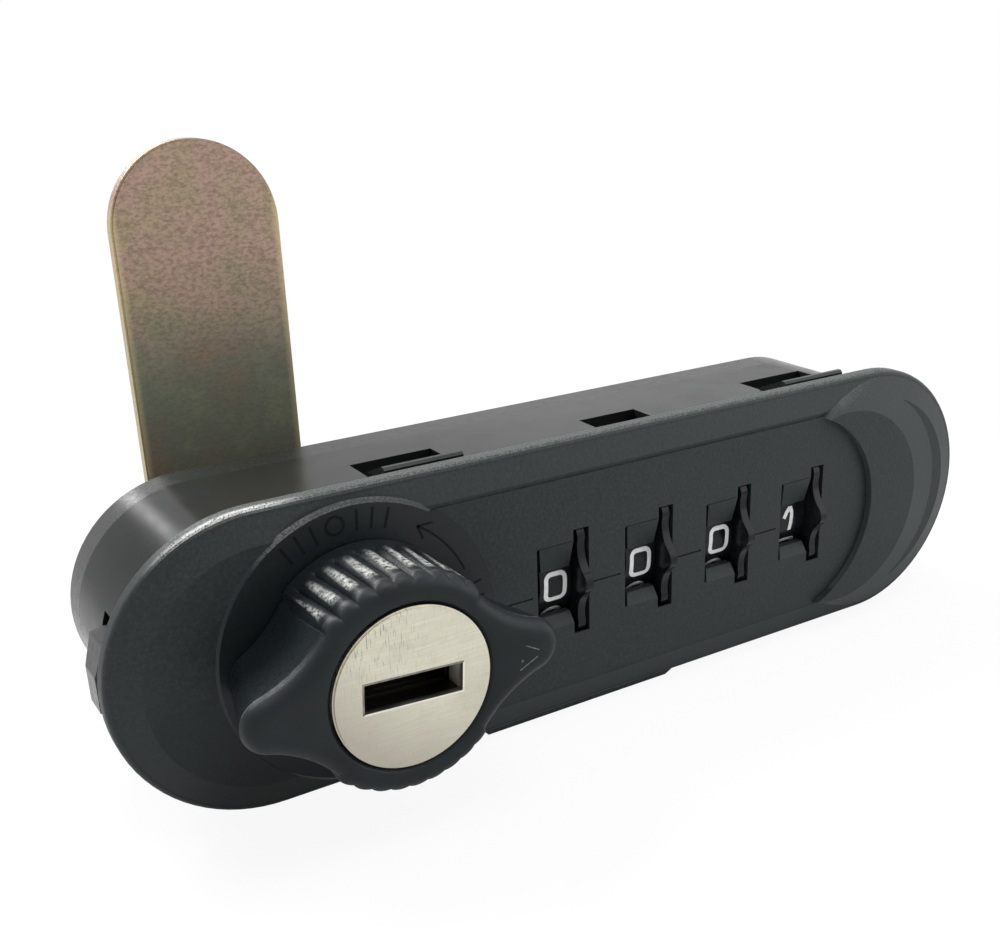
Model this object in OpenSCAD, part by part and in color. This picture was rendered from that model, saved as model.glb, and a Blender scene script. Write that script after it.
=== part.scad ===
// Combination cam lock for a locker door: four thumb-wheel dials, a turning
// knob with a key plug, a snap-in housing and a flat cam.
// X runs along the face, Y points into the door, Z is up.
// The origin is the middle of the plane where the flange rests on the panel.

/* [Face] */
// Height of the flange
face_h = 35; // [34:0.5:38]
// Distance between the centres of the two round ends
face_pitch = 88.2; // [88:0.2:92]
// Thickness of the flange at its rim
flange_t = 2; // [1.6:0.1:2.6]
// Height of the flat dial field above the rim
field_rise = 1.4; // [1.2:0.1:2]
// Width of the sloping border between rim and field
border_w = 3.6; // [2.8:0.1:4.2]
// Height of the raised right end above the dial field
crest_rise = 0.9; // [0.4:0.1:1.4]
// Thickness of the front wall
front_wall = 2; // [1.8:0.1:2.4]

/* [Body] */
// Height of the body behind the flange
body_h = 28.8; // [28.6:0.2:30]
// Depth of the body behind the flange
body_d = 23.6; // [23.4:0.2:30]
// Thickness of the body wall
body_wall = 1.5; // [1.2:0.1:1.6]
// Thickness of the rear plate
rear_wall = 1.8; // [1.4:0.1:2.2]
// Distance from the flange to the seam of the rear cover
seam_y = 19.6; // [19.6:0.1:20.6]
// Radius of the bearing nose behind the cover
nose_r = 9; // [8:0.2:9.6]
// Length of the bearing nose
nose_len = 10.9; // [4:0.1:12]
// Radius of the four cover screws
screw_r = 1.25; // [1:0.05:1.4]

/* [Knob] */
// Distance of the knob axis from the middle of the face
knob_offset = 34.1; // [33.8:0.1:35]
// Radius of the round zone that carries the position marks
disc_r = 16.1; // [15:0.1:16.6]
// Height of the knob above the dial field
knob_h = 12.2; // [11.8:0.1:14]
// Radius of the knob's round middle
knob_r = 11.7; // [11.4:0.1:13]
// Distance from the axis to the tip of a wing
wing_reach = 18; // [17:0.1:20]
// Distance from the axis to the tip of a wing at the knob's base
wing_base_reach = 15.4; // [14:0.1:18]
// Radius of a wing tip
wing_tip_r = 3.1; // [2:0.1:3.4]
// Radius of the hollow flank between wing and middle
flank_r = 14; // [11:0.5:18]
// Radius of the rounded front edge
knob_edge_r = 1.6; // [0.8:0.1:1.8]
// How much smaller the round middle is at the base
knob_draft = 0.15; // [0:0.05:0.5]
// Number of grip ribs on each side
rib_count = 9; // [8:1:14]
// Height of a grip rib
rib_h = 0.5; // [0.2:0.05:0.6]
// Angle between the outer ribs of one side
rib_span = 94; // [70:2:100]

/* [Key plug] */
// Radius of the key plug
plug_r = 9; // [8:0.05:9.2]
// Length of the key plug's head
plug_len = 8; // [7.6:0.1:8.4]
// Width of the keyway
key_w = 11.2; // [10:0.1:12]
// Height of the keyway
key_h = 3.2; // [2.6:0.1:3.4]
// Angle at which the keyway rests in its play, clockwise
key_tilt = 3.5; // [0:0.5:4]
// Number of wafers
wafer_count = 3; // [2:1:3]
// Thickness of a wafer
wafer_t = 0.7; // [0.5:0.05:0.8]

/* [Dials] */
// Number of dials
dial_count = 4; // [4:1:4]
// Distance from dial to dial
dial_pitch = 12.7; // [12.6:0.05:12.8]
// Left edge of the first window
dial_start = -11.4; // [-11.6:0.1:-11.2]
// Width of a window
window_w = 5.13; // [4.9:0.01:5.2]
// Height of a window's sloping recess
recess_h = 10.7; // [9:0.1:11]
// Height of the opening above the dial axis
window_up = 1.9; // [1.6:0.1:2.2]
// Depth of the opening below the dial axis
window_down = 4; // [3.4:0.1:4.2]
// Width of the slit beside the recess
slit_w = 0.37; // [0.3:0.01:0.5]
// Depth of the recess at that opening
recess_d = 1; // [0.9:0.05:1.1]
// Radius of the digit drum
drum_r = 8; // [7.6:0.05:8.1]
// Radius of the thumb wheel
wheel_r = 11.1; // [10.9:0.05:11.2]
// Thickness of the thumb wheel
wheel_t = 1.05; // [0.9:0.05:1.2]
// How far a thumb wheel stands out of the dial field
wheel_out = 1.7; // [1.5:0.05:1.8]
// Width of the slot for the thumb wheel
wheel_slot_w = 2.22; // [2:0.02:2.4]
// Half height of that slot
wheel_slot_half = 6.8; // [6.6:0.1:7]
// Digits on a dial, and lobes round its thumb wheel
digit_count = 10; // [10:1:10]
// Radius of a lobe's tip
lobe_r = 1.7; // [1.4:0.1:1.8]
// Depth of a hollow between two lobes
scallop_d = 1.2; // [1:0.05:1.4]
// Radius of the dial shaft
shaft_r = 2; // [1.6:0.05:2.2]

/* [Mechanism] */
// Travel of the locking slider in a quarter turn of the knob
slider_stroke = 2.9; // [2.8:0.05:3]
// Thickness of the locking slider
slider_t = 1.6; // [1.4:0.05:1.8]
// Width of the locking slider
slider_w = 8; // [7:0.2:9]
// Thickness of a slider finger
finger_t = 0.9; // [0.7:0.05:1]
// Radius of the code flange
code_r = 7.4; // [7:0.1:7.6]
// Thickness of the code flange
code_t = 1; // [0.9:0.05:1.1]
// Thickness of that disc
drive_t = 1.8; // [1.5:0.1:2]
// Distance from the knob axis to the drive pin at rest
drive_start = 7.2; // [7.1:0.05:7.3]
// Radius of the drive pin
drive_pin_r = 1.2; // [1:0.05:1.3]

/* [Spindle and cam] */
// Radius of the spindle where it runs in the face
journal_r = 6.2; // [5.8:0.05:6.4]
// Radius of the spindle where it runs in the nose
spindle_r = 5; // [4.8:0.05:5.2]
// Width across the spindle's two flats
spindle_flats = 7.8; // [7.4:0.1:8.4]
// Radius of the threaded end
stud_r = 3; // [2.5:0.1:3.2]
// Width of the cam
cam_w = 20.8; // [18:0.2:24]
// Distance from the spindle axis to the cam's tip
cam_reach = 50.5; // [40:0.5:60]
// Thickness of the cam
cam_t = 2; // [1.6:0.1:3]
// Radius of the bend relief at the cam's edges
cam_edge = 0.25; // [0.1:0.05:0.4]

/* [Snap clips] */
// Width of the left clips
clip_left_w = 10.2; // [9.8:0.2:12]
// Width of the right clips
clip_right_w = 10.6; // [10:0.2:11]
// Width of the end clips
clip_end_w = 7.6; // [7:0.2:9]
// How far a clip stands out of the body
clip_out = 2; // [1.6:0.1:2.2]
// How far an end clip stands out of the body
clip_end_out = 2.3; // [2:0.1:2.6]
// Thickness of the panel that the clips hold
panel_t = 4.4; // [4.2:0.1:5]
// Thickness of a clip's leg
leg_t = 0.8; // [0.6:0.05:0.9]

/* [Fits] */
// Radial play of a turning fit
fit_run = 0.06; // [0.03:0.01:0.1]
// Gap between a moving piece and its neighbour
gap = 0.3; // [0.2:0.05:0.4]

/* [Hidden] */
$fn = 96;
eps = 0.01;

// Face levels along Y, all in front of the panel
end_x = face_pitch / 2;
rim_r = face_h / 2;
body_r = body_h / 2;
inner_r = body_r - body_wall;
rim_y = -flange_t;
field_y = rim_y - field_rise;
crest_y = field_y - crest_rise;
base_y = field_y + 0.3;
front_in_y = field_y + front_wall;
rear_in_y = body_d - rear_wall;
rim_round = 0.8;
rim_steps = 4;
rim_profile = concat(
    [[rim_r, 0]],
    [for (i = [0 : rim_steps])
        let (a = 90 * i / rim_steps)
        [rim_r - rim_round * (1 - cos(a)), -rim_y - rim_round * (1 - sin(a))]],
    [[rim_r - border_w, -base_y]]
);

// Raised end of the face
field_half = rim_r - 4.1;
arc_r = 14.2;
arc_x = end_x - 15.6;
disc_bevel = 0.5;
crest_x = end_x - 6.6;
crest_r = 13.6;

// Lip under the bottom of the rim
lip_x = [-17.8, 9.3];
lip_drop = 0.5;

// Dials
wheel_y = field_y - wheel_out + wheel_r;
wheel_x = window_w + 0.67;
drum_x = 1.2;
drum_end = wheel_x - 0.15;
slot_end = window_w + wheel_slot_w;
slit_far = slit_w + 0.7 * recess_d;
lobe_at = wheel_r - lobe_r;
hollow_floor = wheel_r - scallop_d;
lobe_reach = lobe_at * cos(180 / digit_count);
hollow_r = (pow(lobe_r, 2) - pow(lobe_at, 2) - pow(hollow_floor, 2) + 2 * hollow_floor * lobe_reach)
    / (2 * (hollow_floor - lobe_reach - lobe_r));
hollow_at = hollow_floor + hollow_r;
hollow_over = 0.03;
sleeve_r = shaft_r + 1.4;
code_x = wheel_x + wheel_t + 1.95;
sleeve_end = dial_pitch - 0.6;
row_end = dial_start + dial_pitch * dial_count;
digit_step = 360 / digit_count;
bulk_t = 1.5;
bulk_left = dial_start - bulk_t - 1;
bulk_right = row_end - 0.5;
bulk_y = wheel_y + 7;

// Locking slider
slider_y = wheel_y + wheel_r + gap + 0.1;
slider_back = slider_y + slider_t;
finger_x = code_x - finger_t - 0.6;
finger_tip_r = code_r - 1.9;
finger_w = 2;
gate_w = finger_w + 2 * gap;
slider_left = -knob_offset + drive_start - drive_pin_r - 0.5;
slider_right = dial_start + dial_pitch * (dial_count - 1) + finger_x + finger_t + 0.6;
post_t = bulk_t;
post_w = 2 * shaft_r - 0.2;
drive_y = slider_y - gap - 0.1 - drive_t;
drive_r = inner_r - 0.7;

// Knob and key plug
knob_front = field_y - knob_h;
knob_base = field_y - gap;
wing_x = wing_reach - wing_tip_r;
plug_front = knob_front - 0.1;
plug_back = plug_front + plug_len;
flange_r = 7.9;
flange_back = knob_base;
flange_front = flange_back - 1.5;
tail_r = 2.2;
tail_end = 14;
clip_groove = plug_front + 6.2;
clip_t = 0.8;
bore_bevel = 0.5;
knob_screw_x = 5.6;
knob_screw_r = 0.9;
wafer_y = plug_front + 3;
wafer_step = 1;
wafer_h = key_h + 2.4;

// Spindle and cam stack behind the nose
boss_r = journal_r + 2;
boss_back = 3;
ring_y = boss_back + 0.1;
ring_t = 0.8;
nose_back = body_d + nose_len;
spacer_y = nose_back + 0.1;
spacer_t = 1.2;
cam_y = spacer_y + spacer_t;
washer_y = cam_y + cam_t;
washer_t = 1;
nut_y = washer_y + washer_t;
nut_t = 4;
stud_end = nut_y + nut_t + 0.6;

// Screws of the rear cover
screw_posts = [[-end_x - 6, 7.4], [-end_x - 6, -7.4], [end_x + 3.4, 8.2], [end_x + 3.4, -8.2]];
post_r = 2.2;
head_r = 2.2;
head_t = 1.5;

// Snap clips
clip_front = panel_t;
clip_ramp_end = clip_front + 6.4;
window_front = clip_front - 0.6;
window_back = clip_ramp_end + 2.6;
leg_end = seam_y - 1.1;
clip_end_ramp = clip_front + 5.2;
clip_flat = 0.8;
clip_end_flat = 4;
clip_end_back = clip_end_ramp + 0.6;
end_window_half = 5.2;
clip_left_x = -21.3;
clip_right_x = dial_start + dial_pitch * 3 + wheel_x + wheel_t + 5.55;
plain_window_x = 9.55;
plain_window_w = 8.7;
plain_window_y = [7.6, 12.05];
leg_top = inner_r - 0.2;
leg_top_end = inner_r - 0.9;
clip_swing = 1.5;
bulk_half = leg_top - leg_t - clip_swing - gap;

// Extrudes a profile drawn in X and Z from y0 to y1
module slab(y0, y1) {
    translate([0, y1, 0])
        rotate([90, 0, 0])
            linear_extrude(y1 - y0)
                children();
}

// Extrudes a profile drawn in Y and Z from x0 to x1
module run(x0, x1) {
    translate([x0, 0, 0])
        rotate([90, 0, 90])
            linear_extrude(x1 - x0)
                children();
}

// Rod along Y at x, z
module rod(x, z, r, y0, y1) {
    translate([x, y1, z])
        rotate([90, 0, 0])
            cylinder(r = r, h = y1 - y0);
}

// Rod on the dial axis from x0 to x1
module axle(r, x0, x1) {
    translate([x0, wheel_y, 0])
        rotate([0, 90, 0])
            cylinder(r = r, h = x1 - x0);
}

// Outline with two round ends
module stadium(r) {
    for (side = [-1, 1])
        translate([side * end_x, 0])
            circle(r = r);
    square([face_pitch, 2 * r], center = true);
}

// Flange with a rounded rim and a sloping border, from its profile of radius and height
module flange() {
    last = len(rim_profile) - 1;
    for (side = [-1, 1])
        translate([side * end_x, 0, 0])
            rotate([90, 0, 0])
                rotate_extrude()
                    polygon(concat([[0, 0]], rim_profile, [[0, -base_y]]));
    run(-end_x, end_x)
        polygon(concat(
            [for (p = rim_profile) [-p[1], p[0]]],
            [for (i = [last : -1 : 0]) [-rim_profile[i][1], -rim_profile[i][0]]]
        ));
}

// Round bar with two flats, across X
module double_d(r, flats) {
    intersection() {
        circle(r = r);
        square([flats, 2 * r + 1], center = true);
    }
}

// Moves its children to the knob axis
module on_knob() {
    translate([-knob_offset, 0, 0])
        children();
}

// Solid face: rim, border, dial field and raised right end
module face_solid() {
    flange();
    on_knob()
        translate([0, field_y + disc_bevel, 0])
            rotate([90, 0, 0])
                cylinder(r1 = disc_r + disc_bevel, r2 = disc_r, h = disc_bevel);
    rim_lip();
    slab(field_y, -eps)
        union() {
            translate([-knob_offset, 0])
                circle(r = disc_r - 0.2);
            translate([-knob_offset, -field_half])
                square([knob_offset + end_x, 2 * field_half]);
        }
    raised_end();
}

// Low lip with sloping ends under the bottom of the rim
module rim_lip() {
    slab(rim_y + 0.5, -0.3)
        polygon([
            [lip_x[0] - lip_drop, -rim_r], [lip_x[0], -rim_r - lip_drop],
            [lip_x[1], -rim_r - lip_drop], [lip_x[1] + 2 * lip_drop, -rim_r],
            [lip_x[1], -rim_r + 1], [lip_x[0], -rim_r + 1]
        ]);
}

// Raised right end, with a round step towards the dials and a sloping end face
module raised_end() {
    difference() {
        hull() {
            rod(end_x, 0, rim_r - rim_round, rim_y, rim_y + 0.2);
            rod(crest_x, 0, crest_r, crest_y, crest_y + 0.2);
        }
        rod(arc_x, 0, arc_r, crest_y - 1, field_y);
    }
}

// Sloping recess with the opening for one digit and the slit at its left edge
module dial_window(x) {
    outer = recess_h / 2;
    floor_y = field_y + recess_d;
    run(x, x + window_w + eps)
        polygon([
            [crest_y, outer], [field_y, outer], [floor_y, window_up], [wheel_y, window_up],
            [wheel_y, -window_down], [floor_y, -window_down], [field_y, -outer], [crest_y, -outer]
        ]);
    slab(crest_y, front_in_y - 0.3)
        polygon([
            [x, outer], [x + slit_w, outer], [x + slit_far, window_up],
            [x + slit_far, -window_down], [x + slit_w, -outer], [x, -outer]
        ]);
}

// Room that the dials turn in, and the slots that the thumb wheels come through
module dial_rooms() {
    for (i = [0 : dial_count - 1]) {
        x = dial_start + i * dial_pitch;
        dial_window(x);
        axle(drum_r + gap, x + drum_x - gap, x + window_w + eps);
        axle(wheel_r + 0.3, x + window_w, x + slot_end);
        translate([x + window_w, crest_y, -wheel_slot_half])
            cube([wheel_slot_w, front_in_y + 1 - crest_y, 2 * wheel_slot_half]);
    }
}

// Fine line at the height of the chosen digits
module index_line() {
    for (i = [0 : dial_count - 1])
        translate([dial_start + i * dial_pitch + slot_end - dial_pitch - 0.2, field_y - eps, -0.65])
            cube([dial_pitch - slot_end - 0.5, 0.2, 0.2]);
}

// Openings in the body wall for the snap clips
module clip_windows() {
    clear = 2 * gap;
    depth = window_back - window_front;
    for (side = [-1, 1]) {
        for (place = [[clip_left_x, clip_left_w], [clip_right_x, clip_right_w]])
            translate([place[0] - place[1] / 2 - gap, window_front, side > 0 ? inner_r - 1 : -body_r - 1])
                cube([place[1] + clear, depth, body_wall + 2]);
        translate([plain_window_x - plain_window_w / 2, plain_window_y[0], side > 0 ? inner_r - 1 : -body_r - 1])
            cube([plain_window_w, plain_window_y[1] - plain_window_y[0], body_wall + 2]);
        translate([side * (end_x + body_r - body_wall) - 3, window_front, -end_window_half])
            cube([6, clip_end_back - window_front, 2 * end_window_half]);
    }
}

// Wall across the body that holds one end of the dial shaft in an open slot
module bulkhead(x) {
    difference() {
        translate([x, front_in_y - eps, -bulk_half])
            cube([bulk_t, bulk_y - front_in_y, 2 * bulk_half]);
        axle(shaft_r + 0.05, x - 1, x + bulk_t + 1);
        translate([x - 1, wheel_y, -shaft_r - 0.05])
            cube([bulk_t + 2, bulk_y, 2 * shaft_r + 0.1]);
    }
}

module face_housing() {
    color("#2b2f30")
    difference() {
        union() {
            difference() {
                union() {
                    face_solid();
                    slab(-eps, seam_y)
                        stadium(body_r);
                }
                slab(front_in_y, seam_y + 1)
                    stadium(inner_r);
            }
            bulkhead(bulk_left);
            bulkhead(bulk_right);
            on_knob()
                rod(0, 0, boss_r, front_in_y - eps, boss_back);
            for (p = screw_posts)
                rod(p[0], p[1], post_r, front_in_y - eps, seam_y);
        }
        dial_rooms();
        index_line();
        clip_windows();
        on_knob()
            rod(0, 0, journal_r + fit_run, crest_y - 1, boss_back + 1);
        for (p = screw_posts)
            rod(p[0], p[1], screw_r + 0.02, seam_y - 9, seam_y + 1);
    }
}

// Post that closes a bulkhead's slot behind the dial shaft
module shaft_post(x) {
    translate([x, wheel_y + shaft_r + 0.1, -post_w / 2])
        cube([post_t, rear_in_y - wheel_y - shaft_r, post_w]);
}

// Rails that guide the locking slider on the cover
module slider_guide(x, length) {
    translate([x, slider_back + 0.2, -slider_w / 2 - 1.5])
        cube([length, rear_in_y - slider_back, slider_w + 3]);
    for (side = [-1, 1])
        translate([x, slider_y, side * (slider_w / 2 + 0.9) - 0.6])
            cube([length, rear_in_y - slider_y, 1.2]);
}

module rear_cover() {
    color("#1d2021")
    difference() {
        union() {
            slab(rear_in_y, body_d)
                stadium(body_r);
            slab(seam_y, rear_in_y + eps)
                difference() {
                    stadium(body_r);
                    stadium(inner_r);
                }
            on_knob()
                rod(0, 0, nose_r, body_d - eps, nose_back);
            shaft_post(bulk_left);
            shaft_post(bulk_right);
            slider_guide(bulk_left - 7, 3);
            slider_guide(plain_window_x, 4);
            for (p = screw_posts)
                rod(p[0], p[1], post_r + 0.8, seam_y, rear_in_y + eps);
        }
        on_knob()
            rod(0, 0, spindle_r + fit_run, seam_y, nose_back + 1);
        for (p = screw_posts) {
            rod(p[0], p[1], screw_r + 0.1, seam_y - 1, body_d + 1);
            rod(p[0], p[1], head_r + 0.2, body_d - head_t, body_d + 1);
        }
    }
}

module cover_screws() {
    color("#8f9396")
    for (p = screw_posts)
        difference() {
            union() {
                rod(p[0], p[1], screw_r, seam_y - 8.5, body_d - head_t + eps);
                rod(p[0], p[1], head_r, body_d - head_t, body_d - 0.1);
            }
            for (turn = [0, 90])
                translate([p[0], body_d - 0.1, p[1]])
                    rotate([0, turn, 0])
                        cube([2.6, 1.4, 0.5], center = true);
        }
}

module dial_shaft() {
    color("#a9adb0")
    axle(shaft_r, bulk_left - 0.8, bulk_right + bulk_t + 0.8);
}

// Leaf spring along the bottom wall with one finger for each thumb wheel
module detent_spring() {
    leaf_z = -inner_r + 0.1;
    leaf_y = wheel_y + 4.4;
    color("#b9bcc0")
    union() {
        translate([dial_start, leaf_y, leaf_z])
            cube([dial_pitch * 3 + wheel_x + wheel_t, 5, 0.4]);
        for (i = [0 : dial_count - 1]) {
            x = dial_start + i * dial_pitch + wheel_x;
            run(x, x + wheel_t)
                polygon([
                    [leaf_y + 4.6, leaf_z + 0.2], [leaf_y + 4.6, leaf_z + 0.5],
                    [leaf_y + 1.9, leaf_z + 3], [leaf_y + 1.3, leaf_z + 2.6],
                    [leaf_y + 1.7, leaf_z + 2.5], [leaf_y + 4, leaf_z + 0.2]
                ]);
        }
    }
}

// Centre of the hollow flank in the first quarter, for a wing tip centred at w
function flank_centre(w) =
    let (x = (pow(knob_r + flank_r, 2) - pow(wing_tip_r + flank_r, 2) + w * w) / (2 * w))
    [x, sqrt(pow(knob_r + flank_r, 2) - x * x)];

// Height of the ribs at an angle of the knob's round middle
function rib(a) =
    let (half = rib_span / 2, from_top = abs(a - 90))
    from_top > half ? 0 : rib_h * pow(abs(sin((a - 90 + half) * 180 * rib_count / rib_span)), 0.7);

tip_steps = 6;
flank_steps = 10;
core_steps = 56;

// Quarter of the knob's outline from the wing tip, centred at w, to the top, pulled in by inset
function quarter(w, inset, ribs) =
    let (f = flank_centre(w))
    let (core_angle = atan2(f[1], f[0]))
    let (tip_angle = atan2(f[1], f[0] - w))
    concat(
        [for (i = [0 : tip_steps - 1])
            let (a = tip_angle * i / tip_steps)
            [w + (wing_tip_r - inset) * cos(a), (wing_tip_r - inset) * sin(a)]],
        [for (i = [0 : flank_steps - 1])
            let (a = 180 + tip_angle + (core_angle - tip_angle) * i / flank_steps)
            [f[0] + (flank_r + inset) * cos(a), f[1] + (flank_r + inset) * sin(a)]],
        [for (i = [0 : core_steps])
            let (a = core_angle + (90 - core_angle) * i / core_steps)
            let (r = knob_r - inset + ribs * rib(a))
            [r * cos(a), r * sin(a)]]
    );

function flip(points) = [for (i = [len(points) - 2 : -1 : 1]) [-points[i][0], points[i][1]]];
function lower(points) = [for (i = [len(points) - 2 : -1 : 1]) [points[i][0], -points[i][1]]];
function upper_half(q) = concat(q, flip(q), [[-q[0][0], q[0][1]]]);
function loop(w, inset, ribs) = let (u = upper_half(quarter(w, inset, ribs))) concat(u, lower(u));

// Levels of the knob's skin: place along Y, inset, rib height and centre of the wing tip
edge_steps = 5;
knob_levels = concat(
    [[knob_base, knob_draft, 1, wing_base_reach - wing_tip_r]],
    [for (i = [0 : edge_steps])
        let (a = 90 * i / edge_steps)
        [
            knob_front + knob_edge_r * (1 - sin(a)),
            knob_edge_r * (1 - cos(a)),
            1 - i / edge_steps,
            wing_x
        ]]
);

module knob_skin() {
    loops = [for (l = knob_levels) loop(l[3], l[1], l[2])];
    n = len(loops[0]);
    last = len(knob_levels) - 1;
    points = [for (k = [0 : last]) for (p = loops[k]) [p[0], knob_levels[k][0], p[1]]];
    sides = [for (k = [0 : last - 1]) for (i = [0 : n - 1])
        let (j = (i + 1) % n)
        [k * n + i, k * n + j, (k + 1) * n + j, (k + 1) * n + i]];
    back = [for (i = [n - 1 : -1 : 0]) i];
    front = [for (i = [0 : n - 1]) last * n + i];
    polyhedron(points = points, faces = concat([back], sides, [front]));
}

module knob() {
    color("#232627")
    on_knob()
    difference() {
        knob_skin();
        rod(0, 0, plug_r + fit_run, knob_front - 1, plug_back + 0.2);
        translate([0, knob_front + bore_bevel, 0])
            rotate([90, 0, 0])
                cylinder(r1 = plug_r + fit_run, r2 = plug_r + fit_run + 1.5 * bore_bevel, h = 1.5 * bore_bevel);
        rod(0, 0, plug_r + 0.75, clip_groove - 0.2, clip_groove + clip_t + 0.2);
        rod(0, 0, flange_r + 0.05, flange_front, knob_base + 1);
        rod(0, 0, tail_r + gap, plug_back, flange_front + 1);
        for (side = [-1, 1]) {
            rod(side * knob_screw_x, 0, knob_screw_r + 0.1, plug_back - 1, flange_front + 1);
            rod(side * knob_screw_x, 0, knob_screw_r + 0.5, plug_back - 1, plug_back + 0.65);
        }
    }
}

module knob_screws() {
    color("#8f9396")
    on_knob()
    for (side = [-1, 1])
        union() {
            rod(side * knob_screw_x, 0, knob_screw_r, plug_back + 0.3, flange_back - 0.1);
            rod(side * knob_screw_x, 0, knob_screw_r + 0.4, plug_back + 0.3, plug_back + 0.6);
        }
}

module spindle() {
    color("#9da1a4")
    on_knob()
    difference() {
        union() {
            rod(0, 0, flange_r, flange_front, flange_back);
            rod(0, 0, journal_r, flange_back - eps, drive_y);
            slab(drive_y - eps, washer_y - 0.2)
                double_d(spindle_r, spindle_flats);
            rod(0, 0, stud_r, washer_y - 0.2 - eps, stud_end);
        }
        difference() {
            rod(0, 0, journal_r + 1, ring_y, ring_y + ring_t + 0.1);
            rod(0, 0, journal_r - 1, ring_y - 1, ring_y + ring_t + 1);
        }
        rod(0, 0, tail_r + gap, flange_front - 1, tail_end + 0.5);
        for (side = [-1, 1])
            rod(side * knob_screw_x, 0, knob_screw_r + 0.02, flange_front - 1, flange_back + 0.1);
    }
}

// Open ring in the spindle's groove, behind the face boss
module spindle_clip() {
    color("#b9bcc0")
    on_knob()
    slab(ring_y, ring_y + ring_t)
        difference() {
            circle(r = journal_r + 1.6);
            circle(r = journal_r - 0.95);
            translate([0, -journal_r])
                square([6, 2 * journal_r], center = true);
        }
}

// Distance from the knob axis to the middle of the drive slot, for a turn in degrees
function drive_path(turn) = drive_start + slider_stroke * turn / 90;

// Slot wall: the path moved outwards by shift, in the disc's own angles
function drive_wall(shift, from, to, steps) =
    [for (i = [0 : steps])
        let (turn = from + (to - from) * i / steps)
        let (r = drive_path(turn) + shift)
        [r * cos(-turn), r * sin(-turn)]];

// Disc on the spindle whose spiral slot moves the locking slider
module drive_disc() {
    over = 13;
    half = drive_pin_r + 0.25;
    color("#c9a94f")
    on_knob()
    slab(drive_y, drive_y + drive_t)
        difference() {
            circle(r = drive_r);
            double_d(spindle_r + 0.03, spindle_flats + 0.06);
            polygon(concat(
                drive_wall(-half, -over, 90 + over, 30),
                drive_wall(half, 90 + over, -over, 30)
            ));
        }
}

module cam_spacer() {
    color("#c9a94f")
    on_knob()
    slab(spacer_y, spacer_y + spacer_t)
        difference() {
            circle(r = nose_r - 0.6);
            double_d(spindle_r + 0.03, spindle_flats + 0.06);
        }
}

// Flat cam, standing up from the spindle
module cam() {
    tip_z = cam_reach - cam_w / 2;
    color("#b3a05f")
    on_knob()
    difference() {
        union() {
            cam_outline(cam_y + cam_edge, cam_y + cam_t - cam_edge, 0, tip_z);
            cam_outline(cam_y, cam_y + cam_t, cam_edge, tip_z);
        }
        slab(cam_y - 1, cam_y + cam_t + 1)
            double_d(spindle_r + 0.03, spindle_flats + 0.06);
    }
}

// Cam blank from y0 to y1, pulled in by inset
module cam_outline(y0, y1, inset, tip_z) {
    r = cam_w / 2 - inset;
    slab(y0, y1)
        union() {
            circle(r = r);
            translate([0, tip_z])
                circle(r = r);
            translate([-r, 0])
                square([2 * r, tip_z]);
        }
}

module cam_washer() {
    color("#b9bcc0")
    on_knob()
    slab(washer_y, washer_y + washer_t)
        difference() {
            circle(r = stud_r + 4);
            circle(r = stud_r + 0.1);
        }
}

module cam_nut() {
    color("#b9bcc0")
    on_knob()
    slab(nut_y, nut_y + nut_t)
        difference() {
            circle(r = stud_r * 1.92, $fn = 6);
            circle(r = stud_r + 0.05);
        }
}

module key_plug() {
    color("#c8c6c2")
    on_knob()
    difference() {
        union() {
            rod(0, 0, plug_r - 0.2, plug_front, plug_back);
            rod(0, 0, plug_r, plug_front + 0.2, plug_back);
            rod(0, 0, tail_r, plug_back - eps, tail_end);
        }
        rotate([0, key_tilt, 0]) {
            translate([-key_w / 2, plug_front - 1, -key_h / 2])
                cube([key_w, plug_len + 0.4, key_h]);
            for (i = [0 : wafer_count - 1])
                translate([-plug_r - 1, wafer_y + i * wafer_step - 0.05, -wafer_h / 2 - 0.1])
                    cube([2 * plug_r + 2, wafer_t + 0.1, wafer_h + 0.2]);
        }
        difference() {
            rod(0, 0, plug_r + 1, clip_groove - 0.1, clip_groove + clip_t + 0.1);
            rod(0, 0, plug_r - 0.9, clip_groove - 1, clip_groove + clip_t + 1);
        }
    }
}

// Thin plates across the plug, each with a window for the key
module plug_wafers() {
    half = sqrt(plug_r * plug_r - wafer_h * wafer_h / 4) - 0.1;
    color("#c9a94f")
    on_knob()
    rotate([0, key_tilt, 0])
    for (i = [0 : wafer_count - 1])
        slab(wafer_y + i * wafer_step, wafer_y + i * wafer_step + wafer_t)
            difference() {
                square([2 * half, wafer_h], center = true);
                square([key_w + 0.6, key_h + 0.6], center = true);
            }
}

module plug_clip() {
    color("#b9bcc0")
    on_knob()
    slab(clip_groove, clip_groove + clip_t)
        difference() {
            circle(r = plug_r + 0.45);
            circle(r = plug_r - 0.85);
            translate([0, -plug_r])
                square([5, 6], center = true);
        }
}

// Slotted bar with a drive pin and one finger for each code wheel
module locking_slider() {
    post_room = [bulk_left - slider_stroke - 0.4, bulk_left + post_t + 0.4];
    color("#8b8f92")
    union() {
        difference() {
            translate([slider_left, slider_y, -slider_w / 2])
                cube([slider_right - slider_left, slider_t, slider_w]);
            translate([post_room[0], slider_y - 1, -post_w / 2 - gap])
                cube([post_room[1] - post_room[0], slider_t + 2, post_w + 2 * gap]);
        }
        rod(-knob_offset + drive_start, 0, drive_pin_r, drive_y + 0.2, slider_y + eps);
        for (i = [0 : dial_count - 1])
            translate([dial_start + i * dial_pitch + finger_x, wheel_y + finger_tip_r, -finger_w / 2])
                cube([finger_t, slider_y + eps - wheel_y - finger_tip_r, finger_w]);
    }
}

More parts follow.
